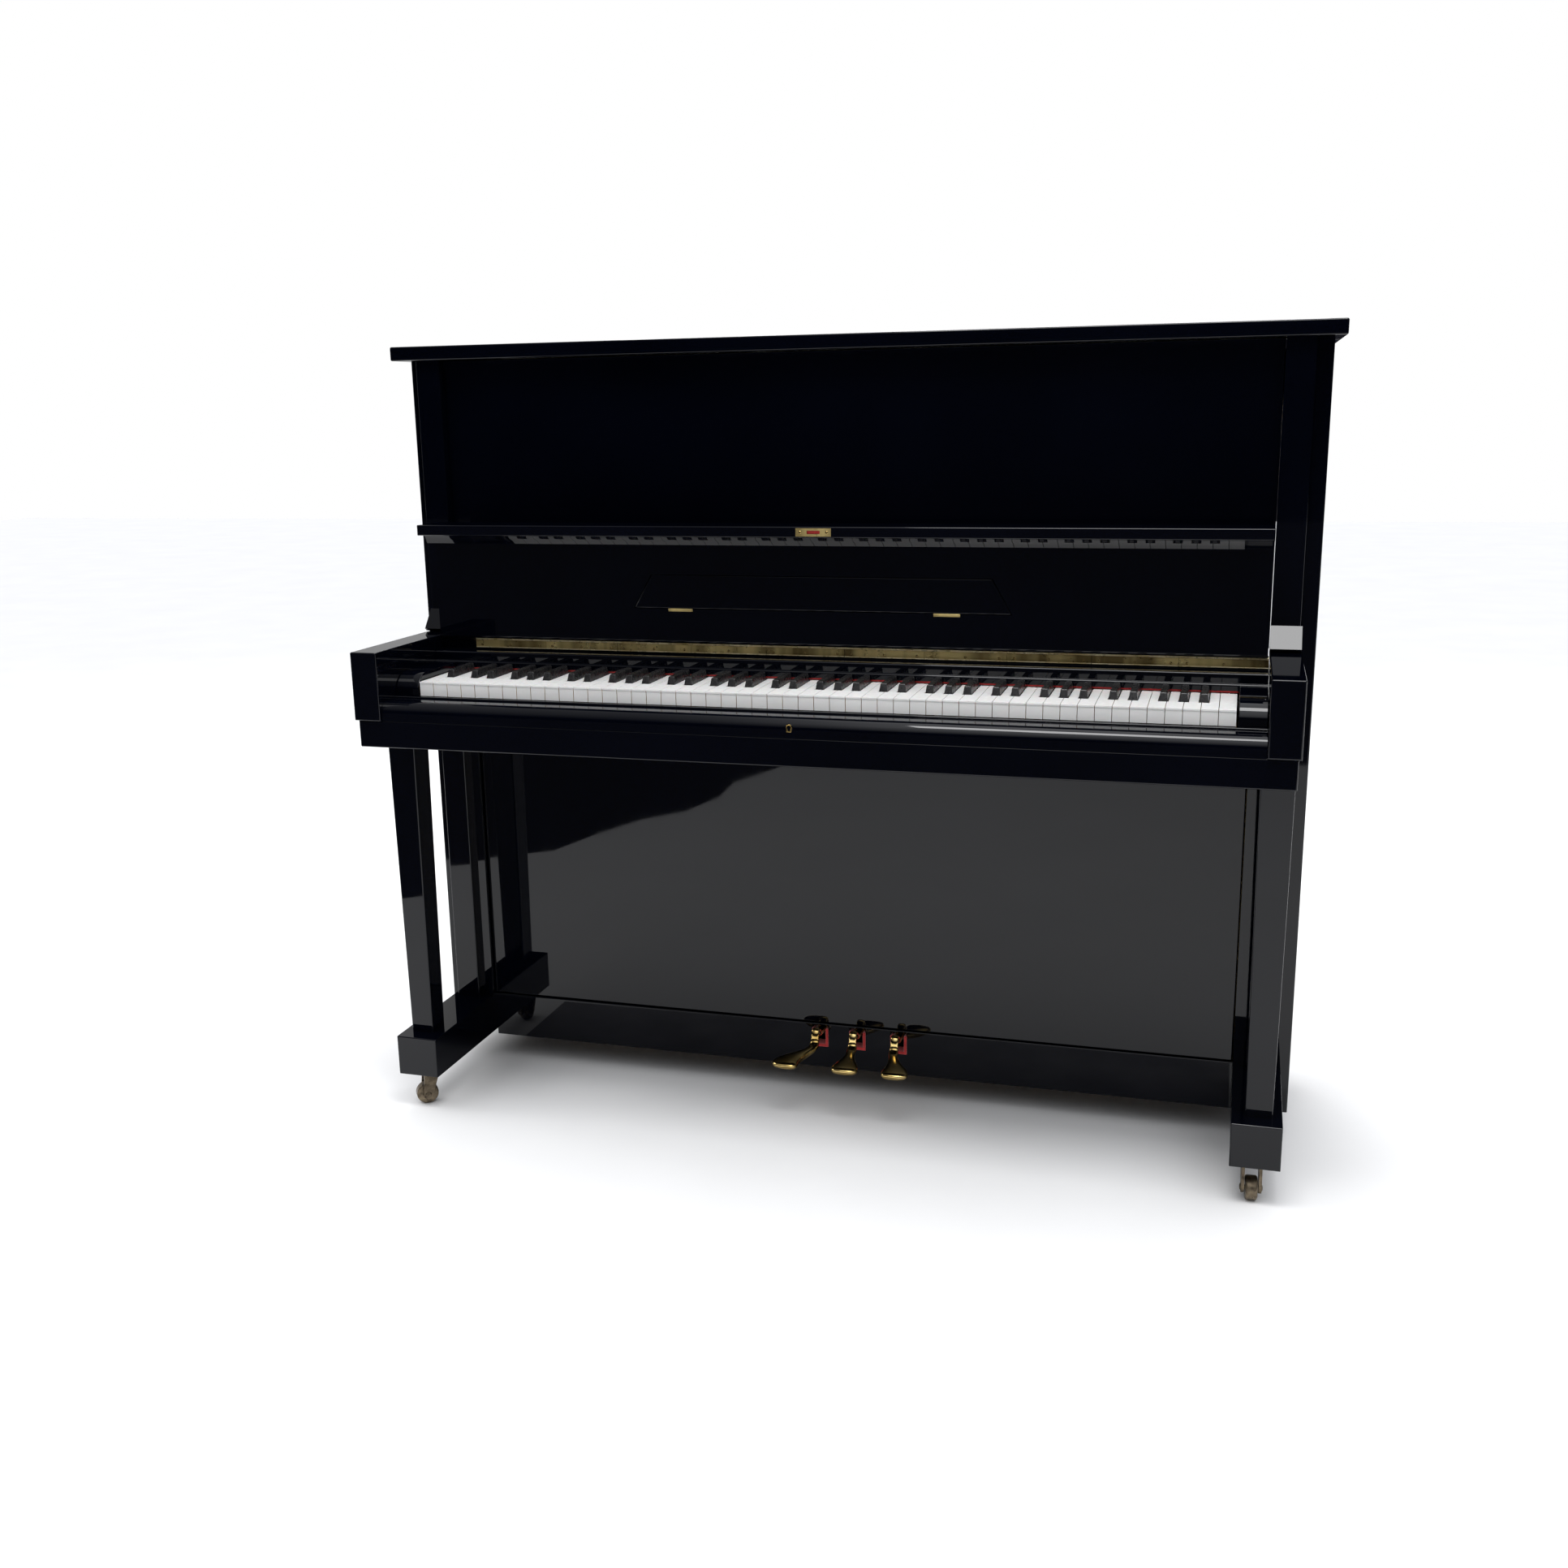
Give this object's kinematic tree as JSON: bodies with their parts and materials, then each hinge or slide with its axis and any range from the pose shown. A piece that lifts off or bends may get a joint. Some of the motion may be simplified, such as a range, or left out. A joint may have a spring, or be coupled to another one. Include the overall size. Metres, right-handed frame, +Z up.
{
  "type": "upright piano",
  "caption": "Upright piano in black polished case with a folding lid, hinged fallboard, flush book rest, full keyboard, brass pedals and casters.",
  "frame": {"origin": "middle of the footprint, on the floor under the casters", "axes": "+X to the player's right along the keyboard, +Y towards the wall, +Z up"},
  "size_m": [1.464, 0.585, 1.241],
  "materials": {
    "gloss_black": "black polyester polished to a mirror over wood",
    "brass": "lacquered brass strip, slightly aged",
    "polished_brass": "cast brass, polished",
    "aged_bronze": "aged bronze casting",
    "white_key": "wooden key covered with smooth white acrylic",
    "black_key": "wooden key with a satin black cap",
    "red_felt": "woven red felt",
    "bare_wood": "plain varnished beech and maple",
    "spruce": "varnished spruce board",
    "bronze_iron": "cast iron sprayed in bronze lacquer",
    "steel": "bright steel wire and fittings"
  },
  "bodies": {
    "case": {"lid_rear": "gloss_black", "lid_hinge": "brass", "side_board_left": "gloss_black", "side_board_right": "gloss_black", "pilaster_left": "gloss_black", "pilaster_right": "gloss_black", "arm_left": "gloss_black", "arm_right": "gloss_black", "leg_left": "gloss_black", "leg_right": "gloss_black", "keybed": "gloss_black", "key_slip": "gloss_black", "key_lock": "brass", "key_blocks": "gloss_black", "nameboard": "gloss_black", "nameboard_felt": "red_felt", "fallboard_hinge": "brass", "upper_panel": "gloss_black", "lower_panel": "gloss_black", "bottom_board": "gloss_black", "pedal_bushings": "red_felt", "toe_block_left": "gloss_black", "toe_block_right": "gloss_black", "caster_forks_rear": "aged_bronze", "pedal_mounts": "steel", "key_frame": "bare_wood", "action_frame": "bare_wood", "iron_plate": "bronze_iron", "strings": "steel", "soundboard": "spruce", "back_frame": "bare_wood"},
    "lid_front": {"lid_front": "gloss_black"},
    "fallboard": {"fallboard": "gloss_black", "fallboard_lock_plate": "brass", "book_rest_hinges": "brass"},
    "book_rest": {"book_rest": "gloss_black"},
    "pedal_left": {"pedal_left": "polished_brass"},
    "pedal_middle": {"pedal_middle": "polished_brass"},
    "pedal_right": {"pedal_right": "polished_brass"},
    "caster_front_left": {"caster_fork_front_left": "aged_bronze"},
    "caster_front_right": {"caster_fork_front_right": "aged_bronze"},
    "wheel_front_left": {"caster_wheel_front_left": "aged_bronze"},
    "wheel_front_right": {"caster_wheel_front_right": "aged_bronze"},
    "wheel_rear_left": {"caster_wheel_rear_left": "aged_bronze"},
    "wheel_rear_right": {"caster_wheel_rear_right": "aged_bronze"},
    "white_keys": {"white_keys": "white_key"},
    "black_keys": {"black_keys": "black_key"},
    "hammers": {"hammers": "bare_wood"},
    "key_c": {"key_c": "white_key"},
    "key_c_sharp": {"key_c_sharp": "black_key"},
    "key_d": {"key_d": "white_key"},
    "key_d_sharp": {"key_d_sharp": "black_key"},
    "key_e": {"key_e": "white_key"},
    "key_f": {"key_f": "white_key"},
    "key_f_sharp": {"key_f_sharp": "black_key"},
    "key_g": {"key_g": "white_key"},
    "key_g_sharp": {"key_g_sharp": "black_key"},
    "key_a": {"key_a": "white_key"},
    "key_a_sharp": {"key_a_sharp": "black_key"},
    "key_b": {"key_b": "white_key"}
  },
  "joints": [
    {"name": "lid_fold", "type": "hinge", "parent": "case", "child": "lid_front", "pos_m": [0, 0.1235, 1.2388], "axis": [-1, 0, 0], "range_deg": [0, 178]},
    {"name": "fallboard_swing", "type": "hinge", "parent": "case", "child": "fallboard", "pos_m": [0, -0.074, 0.7725], "axis": [1, 0, 0], "range_deg": [0, 90]},
    {"name": "book_rest_fold", "type": "hinge", "parent": "fallboard", "child": "book_rest", "pos_m": [-0.01, -0.0901, 0.8297], "axis": [-1, 0, 0], "range_deg": [-85, 0]},
    {"name": "pedal_left_press", "type": "hinge", "parent": "case", "child": "pedal_left", "pos_m": [-0.034, 0.0925, 0.112], "axis": [1, 0, 0], "range_deg": [0, 7], "stiffness_Nm_per_rad": 20, "springref_deg": -5.73},
    {"name": "pedal_middle_press", "type": "hinge", "parent": "case", "child": "pedal_middle", "pos_m": [0.03, 0.0925, 0.112], "axis": [1, 0, 0], "range_deg": [0, 7], "stiffness_Nm_per_rad": 20, "springref_deg": -5.73},
    {"name": "pedal_right_press", "type": "hinge", "parent": "case", "child": "pedal_right", "pos_m": [0.1, 0.0925, 0.112], "axis": [1, 0, 0], "range_deg": [0, 7], "stiffness_Nm_per_rad": 20, "springref_deg": -5.73},
    {"name": "hammer_rail_shift", "type": "hinge", "parent": "case", "child": "hammers", "pos_m": [0, 0.0805, 0.905], "axis": [-1, 0, 0], "range_deg": [0, 9.1]},
    {"name": "caster_left_swivel", "type": "hinge", "parent": "case", "child": "caster_front_left", "pos_m": [-0.664, -0.1955, 0.0596], "axis": [0, 0, 1], "continuous": true},
    {"name": "wheel_front_left_roll", "type": "hinge", "parent": "caster_front_left", "child": "wheel_front_left", "pos_m": [-0.67109, -0.20104, 0.018], "axis": [0.6157, -0.788, 0], "continuous": true},
    {"name": "caster_right_swivel", "type": "hinge", "parent": "case", "child": "caster_front_right", "pos_m": [0.664, -0.1955, 0.0596], "axis": [0, 0, 1], "continuous": true},
    {"name": "wheel_front_right_roll", "type": "hinge", "parent": "caster_front_right", "child": "wheel_front_right", "pos_m": [0.66463, -0.20448, 0.018], "axis": [0.9976, 0.0698, 0], "continuous": true},
    {"name": "wheel_rear_left_roll", "type": "hinge", "parent": "case", "child": "wheel_rear_left", "pos_m": [-0.664, 0.2485, 0.018], "axis": [1, 0, 0], "continuous": true},
    {"name": "wheel_rear_right_roll", "type": "hinge", "parent": "case", "child": "wheel_rear_right", "pos_m": [0.664, 0.2485, 0.018], "axis": [1, 0, 0], "continuous": true},
    {"name": "key_c_press", "type": "hinge", "parent": "case", "child": "key_c", "pos_m": [0, -0.0225, 0.705], "axis": [1, 0, 0], "range_deg": [0, 2.6], "stiffness_Nm_per_rad": 1, "springref_deg": -8.59},
    {"name": "key_c_sharp_press", "type": "hinge", "parent": "case", "child": "key_c_sharp", "pos_m": [0, -0.0225, 0.705], "axis": [1, 0, 0], "range_deg": [0, 2.6], "stiffness_Nm_per_rad": 1, "springref_deg": -8.59},
    {"name": "key_d_press", "type": "hinge", "parent": "case", "child": "key_d", "pos_m": [0, -0.0225, 0.705], "axis": [1, 0, 0], "range_deg": [0, 2.6], "stiffness_Nm_per_rad": 1, "springref_deg": -8.59},
    {"name": "key_d_sharp_press", "type": "hinge", "parent": "case", "child": "key_d_sharp", "pos_m": [0, -0.0225, 0.705], "axis": [1, 0, 0], "range_deg": [0, 2.6], "stiffness_Nm_per_rad": 1, "springref_deg": -8.59},
    {"name": "key_e_press", "type": "hinge", "parent": "case", "child": "key_e", "pos_m": [0, -0.0225, 0.705], "axis": [1, 0, 0], "range_deg": [0, 2.6], "stiffness_Nm_per_rad": 1, "springref_deg": -8.59},
    {"name": "key_f_press", "type": "hinge", "parent": "case", "child": "key_f", "pos_m": [0, -0.0225, 0.705], "axis": [1, 0, 0], "range_deg": [0, 2.6], "stiffness_Nm_per_rad": 1, "springref_deg": -8.59},
    {"name": "key_f_sharp_press", "type": "hinge", "parent": "case", "child": "key_f_sharp", "pos_m": [0, -0.0225, 0.705], "axis": [1, 0, 0], "range_deg": [0, 2.6], "stiffness_Nm_per_rad": 1, "springref_deg": -8.59},
    {"name": "key_g_press", "type": "hinge", "parent": "case", "child": "key_g", "pos_m": [0, -0.0225, 0.705], "axis": [1, 0, 0], "range_deg": [0, 2.6], "stiffness_Nm_per_rad": 1, "springref_deg": -8.59},
    {"name": "key_g_sharp_press", "type": "hinge", "parent": "case", "child": "key_g_sharp", "pos_m": [0, -0.0225, 0.705], "axis": [1, 0, 0], "range_deg": [0, 2.6], "stiffness_Nm_per_rad": 1, "springref_deg": -8.59},
    {"name": "key_a_press", "type": "hinge", "parent": "case", "child": "key_a", "pos_m": [0, -0.0225, 0.705], "axis": [1, 0, 0], "range_deg": [0, 2.6], "stiffness_Nm_per_rad": 1, "springref_deg": -8.59},
    {"name": "key_a_sharp_press", "type": "hinge", "parent": "case", "child": "key_a_sharp", "pos_m": [0, -0.0225, 0.705], "axis": [1, 0, 0], "range_deg": [0, 2.6], "stiffness_Nm_per_rad": 1, "springref_deg": -8.59},
    {"name": "key_b_press", "type": "hinge", "parent": "case", "child": "key_b", "pos_m": [0, -0.0225, 0.705], "axis": [1, 0, 0], "range_deg": [0, 2.6], "stiffness_Nm_per_rad": 1, "springref_deg": -8.59},
    {"name": "white_keys_press", "type": "hinge", "parent": "case", "child": "white_keys", "pos_m": [0, -0.0225, 0.705], "axis": [1, 0, 0], "range_deg": [0, 2.6], "stiffness_Nm_per_rad": 45, "springref_deg": -8.59},
    {"name": "black_keys_press", "type": "hinge", "parent": "case", "child": "black_keys", "pos_m": [0, -0.0225, 0.705], "axis": [1, 0, 0], "range_deg": [0, 2.6], "stiffness_Nm_per_rad": 31, "springref_deg": -8.59}
  ],
  "couplings": [
    {"joint": "hammer_rail_shift", "follows": "pedal_left_press", "ratio": 1.28}
  ]
}
